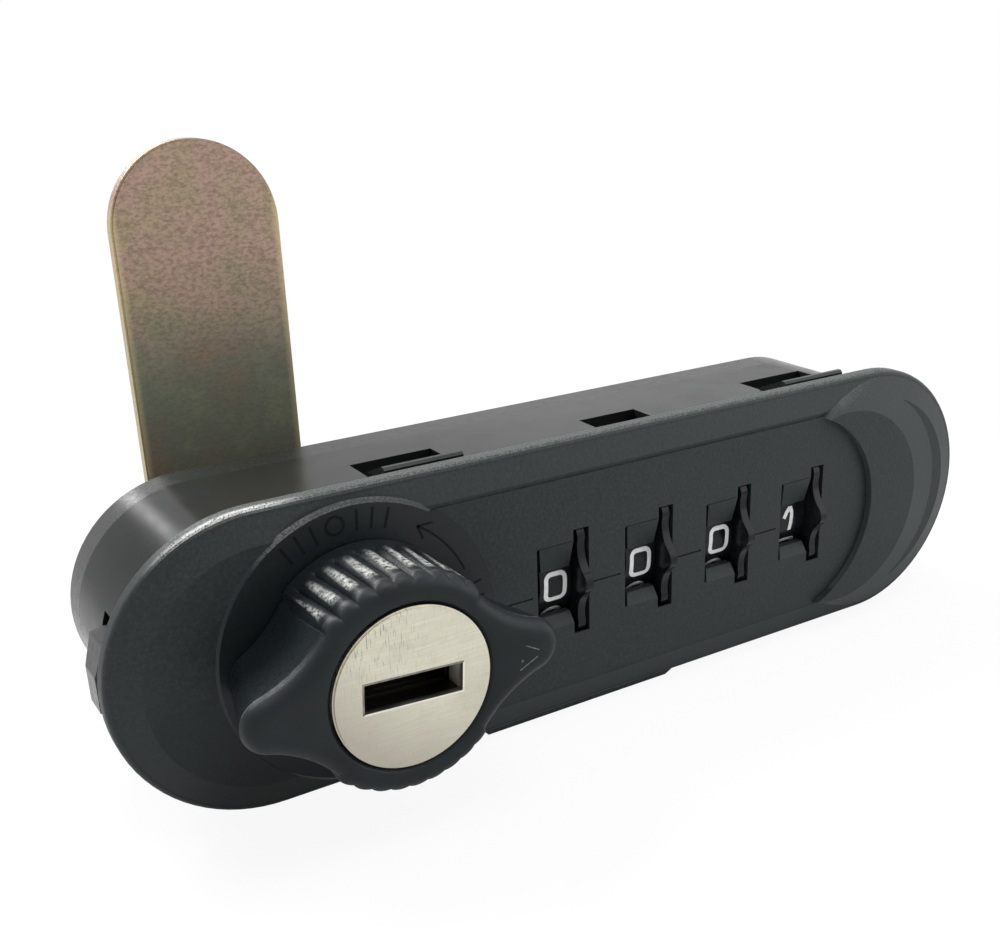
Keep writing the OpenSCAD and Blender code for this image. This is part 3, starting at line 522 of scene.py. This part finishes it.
def knob_mesh():
    """The knob with smooth sides, from loops of points that run up its outside and back down its bores."""
    front = KNOB_FRONT_Y / MM
    edge = KNOB_EDGE / MM
    base = KNOB_BASE_Y / MM
    loops = []
    wide = knob_outline(WING_FRONT, 0.0, 0.0)
    narrow = knob_outline(WING_BACK, WING_DRAFT, 0.0)
    ribbed = knob_outline(WING_FRONT, 0.0, 1.0)
    grooves = [(r[0] - w[0], r[1] - w[1]) for r, w in zip(ribbed, wide)]
    steps = 22
    for i in range(steps + 1):
        share = i / steps
        cut_in = min(1.0, max(0.0, (share - 0.13) / 0.09))
        loops.append((base + (front + edge - base) * share, [
            (n[0] + (w[0] - n[0]) * share + g[0] * cut_in, n[1] + (w[1] - n[1]) * share + g[1] * cut_in)
            for n, w, g in zip(narrow, wide, grooves)]))
    for i in range(1, 11):
        a = math.pi / 2 * i / 10
        inset = edge * (1 - math.cos(a))
        fade = max(0.0, 1.0 - 1.3 * i / 10)
        loops.append((front + edge * (1 - math.sin(a)), knob_outline(WING_FRONT, inset, fade)))
    loops.append((front, knob_outline(WING_FRONT, edge + 0.06, 0.0)))
    angles = [math.atan2(z, x) for x, z in wide]

    def ring(r, y):
        loops.append((y, [(r * math.cos(a), r * math.sin(a)) for a in angles]))

    plug_bore = [(9.56, front), (9.5, front + 0.04), (9.10, front + 0.45), (9.07, front + 0.55), (9.07, -7.7)]
    spindle_bore = [(2.5, -7.7), (2.5, -5.2), (7.95, -5.2), (7.95, base)]
    for r, y in plug_bore + spindle_bore:
        ring(r, y)
    count = len(wide)
    verts = [(KNOB_X + x * MM, y * MM, z * MM) for y, loop in loops for x, z in loop]
    faces = []
    for k in range(len(loops)):
        m = (k + 1) % len(loops)
        for i in range(count):
            j = (i + 1) % count
            faces.append((k * count + i, k * count + j, m * count + j, m * count + i))
    obj = add_mesh("knob_visual", verts, faces, KNOB, smooth=True)
    obj.data.set_sharp_from_angle(angle=math.radians(38))
    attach(obj, "knob_and_cam")
    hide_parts("knob")


# Meshes and strokes
def add_mesh(name, verts, faces, mat, smooth=False):
    mesh = bpy.data.meshes.new(name)
    mesh.from_pydata(verts, [], faces)
    mesh.materials.append(mat)
    mesh.validate()
    if smooth:
        mesh.shade_smooth()
    obj = bpy.data.objects.new(name, mesh)
    scene.collection.objects.link(obj)
    return obj


def arc(cx, cy, rx, ry, start, end, steps):
    """Points on an ellipse from start to end, in degrees, counter-clockwise."""
    out = []
    for i in range(steps + 1):
        a = math.radians(start + (end - start) * i / steps)
        out.append((cx + rx * math.cos(a), cy + ry * math.sin(a)))
    return out


def band(path, width, closed=False):
    """Left and right points of a stroke of that width along a path, with mitred corners."""
    count = len(path)
    left, right = [], []
    for i, p in enumerate(path):
        a = path[(i - 1) % count] if closed or i > 0 else p
        b = path[(i + 1) % count] if closed or i < count - 1 else p
        d1 = Vector((p[0] - a[0], p[1] - a[1]))
        d2 = Vector((b[0] - p[0], b[1] - p[1]))
        if d1.length < 1e-9:
            d1 = d2.copy()
        if d2.length < 1e-9:
            d2 = d1.copy()
        d1.normalize()
        d2.normalize()
        n1, n2 = Vector((-d1.y, d1.x)), Vector((-d2.y, d2.x))
        n = (n1 + n2).normalized()
        half = width / 2 / max(0.5, n.dot(n1))
        left.append((p[0] + n.x * half, p[1] + n.y * half))
        right.append((p[0] - n.x * half, p[1] - n.y * half))
    return left, right


def strokes(name, paths, width, place, depth, mat):
    """A mesh of strokes; place((u, v), lift) gives the point in space, lift 0 is the back."""
    verts, faces = [], []
    for path, closed in paths:
        left, right = band(path, width, closed)
        base = len(verts)
        for l, r in zip(left, right):
            verts += [place(l, 0.0), place(r, 0.0), place(r, depth), place(l, depth)]
        count = len(left)
        for i in range(count if closed else count - 1):
            a, b = base + 4 * i, base + 4 * ((i + 1) % count)
            for k in range(4):
                m = (k + 1) % 4
                faces.append((a + k, a + m, b + m, b + k))
        if not closed:
            e = base + 4 * (count - 1)
            faces.append((base + 3, base + 2, base + 1, base))
            faces.append((e, e + 1, e + 2, e + 3))
    return add_mesh(name, verts, faces, mat)


def fine(path, step=0.18):
    """The path with points added so that none are further apart than step."""
    out = [path[0]]
    for a, b in zip(path, path[1:]):
        n = max(1, math.ceil(math.dist(a, b) / step))
        out += [(a[0] + (b[0] - a[0]) * k / n, a[1] + (b[1] - a[1]) * k / n) for k in range(1, n + 1)]
    return out


# Digits as (path, closed) strokes in millimetres round their middle
W = 1.34
H = 1.68
R = 0.72


def rounded(x0, y0, x1, y1, r):
    """Points of a rectangle with round corners."""
    return (arc(x1 - r, y1 - r, r, r, 0, 90, 5) + arc(x0 + r, y1 - r, r, r, 90, 180, 5)
            + arc(x0 + r, y0 + r, r, r, 180, 270, 5) + arc(x1 - r, y0 + r, r, r, 270, 360, 5))


GLYPHS = {
    0: [(rounded(-W, -H, W, H, R), True)],
    1: [([(-1.4, 0.35), (-0.95, 1.15), (-0.5, H - 0.08), (-0.2, H - 0.1), (-0.05, 0.9), (-0.12, -H)], False)],
    2: [(arc(0, H - 1.05, W, 1.05, 165, -35, 10) + [(-W, -H), (W, -H)], False)],
    3: [(arc(0, H - 0.85, W - 0.1, 0.85, 150, -80, 9) + arc(0, -H + 0.92, W, 0.92, 80, -150, 9), False)],
    4: [([(0.55, -H), (0.55, H), (-W, -0.75), (W, -0.75)], False)],
    5: [([(W - 0.1, H), (-W + 0.15, H), (-W + 0.05, 0.25)] + arc(0, -0.62, W, 1.1, 120, -150, 12), False)],
    6: [(arc(0, -H + 1.05, W, 1.05, 0, 360, 20)[:-1], True),
        (arc(0.35, -0.65, W + 0.35, H + 0.65, 180, 95, 8), False)],
    7: [([(-W, H), (W, H), (-0.25, -H)], False)],
    8: [(arc(0, H - 0.82, W - 0.15, 0.82, 0, 360, 18)[:-1], True),
        (arc(0, -H + 0.92, W, 0.92, 0, 360, 20)[:-1], True)],
    9: [(arc(0, H - 1.05, W, 1.05, 0, 360, 20)[:-1], True),
        (arc(-0.35, 0.65, W + 0.35, H + 0.65, 0, -85, 8), False)],
}
STROKE = 0.58
DIGIT_LIFT = 0.03 * MM


def digit(dial, value):
    """One white digit on a dial's drum."""
    middle = DIAL_X[dial] + DIGIT_MIDDLE
    turn = (value - DIAL_READS[dial]) * DIGIT_TURN + DIGIT_PHASE

    def place(point, lift):
        angle = turn + point[1] * MM / DRUM_R
        r = DRUM_R - 0.01 * MM + lift
        return (middle + point[0] * MM, DIAL_AXIS_Y - r * math.cos(angle), r * math.sin(angle))

    paths = [(fine(path + path[:1])[:-1] if closed else fine(path), closed) for path, closed in GLYPHS[value]]
    obj = strokes(f"digit_{dial + 1}_{value}", paths, STROKE, place, DIGIT_LIFT + 0.01 * MM, DIGIT)
    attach(obj, f"dial_set_{dial + 1}")


for dial in range(4):
    for value in range(10):
        digit(dial, value)


knob_mesh()


# Marks on the housing and the knob
def flat_marks(name, paths, width, level, body, mat):
    """Strokes in millimetres round the knob's axis, on the plane Y = level."""
    def place(point, lift):
        return (KNOB_X + point[0] * MM, level + 0.02 * MM - lift, point[1] * MM)

    obj = strokes(name, paths, width, place, 0.035 * MM, mat)
    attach(obj, body)


# Shadow line along the top of each window's recess
WINDOW_TOP = 5.42
for i, left in enumerate(DIAL_X):
    shift = (left - KNOB_X) / MM
    path = [(shift + along, WINDOW_TOP) for along in (0.05, 2.5, 5.0)]
    flat_marks(f"window_edge_{i + 1}", [(path, False)], 0.1, FIELD_Y, "housing", ENGRAVED_AND_SHADOW)


def polar(radius, degrees):
    a = math.radians(degrees)
    return (radius * math.cos(a), radius * math.sin(a))


flat_marks("turn_arrow", [
    (arc(0, 0, ARROW_R, ARROW_R, 23, 58, 16), False),
    ([polar(15.3, 52), polar(ARROW_R, 58), polar(TICK_INNER_R, 52)], False),
], 0.26, DISC_Y, "housing", ENGRAVED_AND_SHADOW)
for kind, middle in (("locked", 98), ("free", -10)):
    ring = arc(*polar(MARK_R, middle), 1.0, 1.0, 0, 360, 24)[:-1]
    ticks = [[polar(TICK_INNER_R, middle + k), polar(TICK_OUTER_R, middle + k)]
             for k in (-24, -17, -10, 10, 17, 24)]
    flat_marks(f"mark_{kind}", [(ring, True)] + [(tick, False) for tick in ticks],
               0.32, DISC_Y, "housing", ENGRAVED_AND_SHADOW)
dot = arc(12.96, -0.86, 0.10, 0.10, 0, 360, 10)[:-1]
flat_marks("pointer_dot", [(dot, True)], 0.14, KNOB_FRONT_Y, "knob_and_cam", POINTER)
pointer = [[(12.6, -1.9), (14.9, -0.83)], [(13.5, 0.8), (15.1, -0.1)]]
flat_marks("pointer_lines", [(side, False) for side in pointer], 0.10, KNOB_FRONT_Y, "knob_and_cam", POINTER)


def keyway_edge(name, corners, mat):
    """A thin bevel along part of the keyway's outline, on the plug's face, in the given lit or shaded copy of
    one metal, as painted light and shade.
    """
    path = []
    for side, end in corners:
        u = side * (KEY_HALF_W + KEY_BEVEL / 2)
        v = end * (KEY_HALF_H + KEY_BEVEL / 2)
        path.append((u * math.cos(KEY_TILT) + v * math.sin(KEY_TILT),
                     v * math.cos(KEY_TILT) - u * math.sin(KEY_TILT)))
    flat_marks(name, [(path, False)], KEY_BEVEL, PLUG_FRONT_Y, "key_cylinder", mat)


# Painted light and shade: the bevel's lower and right sides lit, its upper and left sides shaded
keyway_edge("keyway_edge_lit", [(-1, -1), (1, -1), (1, 1)], BEVEL_LIT)
keyway_edge("keyway_edge_shaded", [(1, 1), (-1, 1), (-1, -1)], BEVEL_SHADED)


# Floor, world and lamps
def floor_material():
    """A pale floor, seen as plain white with the object's soft shadow."""
    mat = bpy.data.materials.new("floor_white")
    mat.use_nodes = True
    t = Tree(mat.node_tree)
    place = t.node("TexCoord").outputs["Object"]
    far = t.node("VectorMath")
    far.operation = "LENGTH"
    t.link(place, far.inputs[0])
    white = t.ramp(far.outputs["Value"], 0.07, 0.20, 0.92, 1.0)
    beside = t.math("ABSOLUTE", t.math("SUBTRACT", t.split(place)[1], BODY_MIDDLE_Y))
    mirrored = t.times(t.rays("Glossy", "Transmission"), t.ramp(beside, 0.02, 0.055, 0.35, 1.0))
    seen = t.math("MAXIMUM", t.rays("Camera"), mirrored)
    diffuse = t.node("BsdfDiffuse")
    diffuse.inputs["Color"].default_value = (0.86, 0.86, 0.86, 1.0)
    glow = t.node("Emission")
    glow.inputs["Color"].default_value = (1.0, 1.0, 1.0, 1.0)
    glow.inputs["Strength"].default_value = 1.0
    mix = t.node("MixShader")
    t.link(t.times(seen, white), mix.inputs[0])
    t.link(diffuse.outputs[0], mix.inputs[1])
    t.link(glow.outputs[0], mix.inputs[2])
    t.link(mix.outputs[0], t.node("OutputMaterial").inputs["Surface"])
    return mat


FLOOR_Z = cad_low[2] - 0.06 * MM
FLOOR_HALF = 3.0
floor_corners = [(FLOOR_HALF * x, FLOOR_HALF * y, FLOOR_Z) for x, y in ((-1, -1), (1, -1), (1, 1), (-1, 1))]
floor = add_mesh("floor", floor_corners, [(0, 1, 2, 3)], floor_material())

# World: white where it is seen, and softer light from the front than from behind
SIDE_LIGHT = ((0.0, 0.40), (0.28, 0.42), (0.69, 0.52), (0.79, 0.98), (0.84, 0.62), (1.0, 0.55))
world = bpy.data.worlds.new("studio")
scene.world = world
world.use_nodes = True
sky = Tree(world.node_tree)
aim = sky.split(sky.node("TexCoord").outputs["Generated"])
across = sky.colours(sky.ramp(aim[0], -1.0, 1.0), *[(at, (level, level, level)) for at, level in SIDE_LIGHT])
soft = sky.times(sky.ramp(aim[1], -0.5, 0.35, 0.30, 1.0), across)
background = sky.node("Background")
background.inputs["Color"].default_value = (1.0, 1.0, 1.0, 1.0)
strength = sky.math("MAXIMUM", soft, sky.rays("Camera", "Glossy", "Transmission"))
sky.link(strength, background.inputs["Strength"])
sky.link(background.outputs[0], sky.node("OutputWorld").inputs["Surface"])


def softbox(name, place, target, width, height, power):
    """A rectangular lamp at a place, aimed at a target, in metres and watts."""
    lamp = bpy.data.lights.new(name, "AREA")
    lamp.shape = "RECTANGLE"
    lamp.size = width
    lamp.size_y = height
    lamp.energy = power
    obj = bpy.data.objects.new(name, lamp)
    scene.collection.objects.link(obj)
    obj.location = place
    obj.rotation_mode = "QUATERNION"
    obj.rotation_quaternion = (Vector(target) - Vector(place)).to_track_quat("-Z", "Y")
    obj.visible_camera = False


softbox("lamp_top", (0.05, -0.05, 0.42), (0.0, 0.0, 0.0), 0.30, 0.22, 1.1)
softbox("lamp_back", (-0.14, 0.26, 0.33), (-0.02, 0.0, 0.0), 0.30, 0.12, 2.4)
softbox("lamp_strip", (-0.10, 0.42, 0.19), (-0.05, 0.02, 0.01), 0.025, 0.12, 0.10)
softbox("lamp_right", (0.40, -0.22, 0.18), (0.05, 0.0, 0.0), 0.50, 0.55, 1.3)

# Camera
EYE = Vector((-83.629, -119.380, 62.391)) * MM
FORWARD = Vector((0.491609, 0.782759, -0.381588)).normalized()
UP = Vector((0.224154, 0.309682, 0.924041)).normalized()
FOCAL_PX = 1272.73
CENTRE_PX = (541.1, 546.1)
PICTURE = (1000, 944)

cam_data = bpy.data.cameras.new("camera")
cam_data.sensor_fit = "HORIZONTAL"
cam_data.sensor_width = 36.0
cam_data.lens = FOCAL_PX / PICTURE[0] * 36.0
cam_data.shift_x = (PICTURE[0] / 2 - CENTRE_PX[0]) / PICTURE[0]
cam_data.shift_y = (CENTRE_PX[1] - PICTURE[1] / 2) / PICTURE[0]
cam_data.clip_start = 0.005
cam_data.clip_end = 20.0
camera = bpy.data.objects.new("camera", cam_data)
scene.collection.objects.link(camera)
right = FORWARD.cross(UP).normalized()
up = right.cross(FORWARD).normalized()
turn = Matrix((right, up, -FORWARD)).transposed()
camera.matrix_world = Matrix.Translation(EYE) @ turn.to_4x4()
scene.camera = camera

scene.view_settings.view_transform = "Standard"
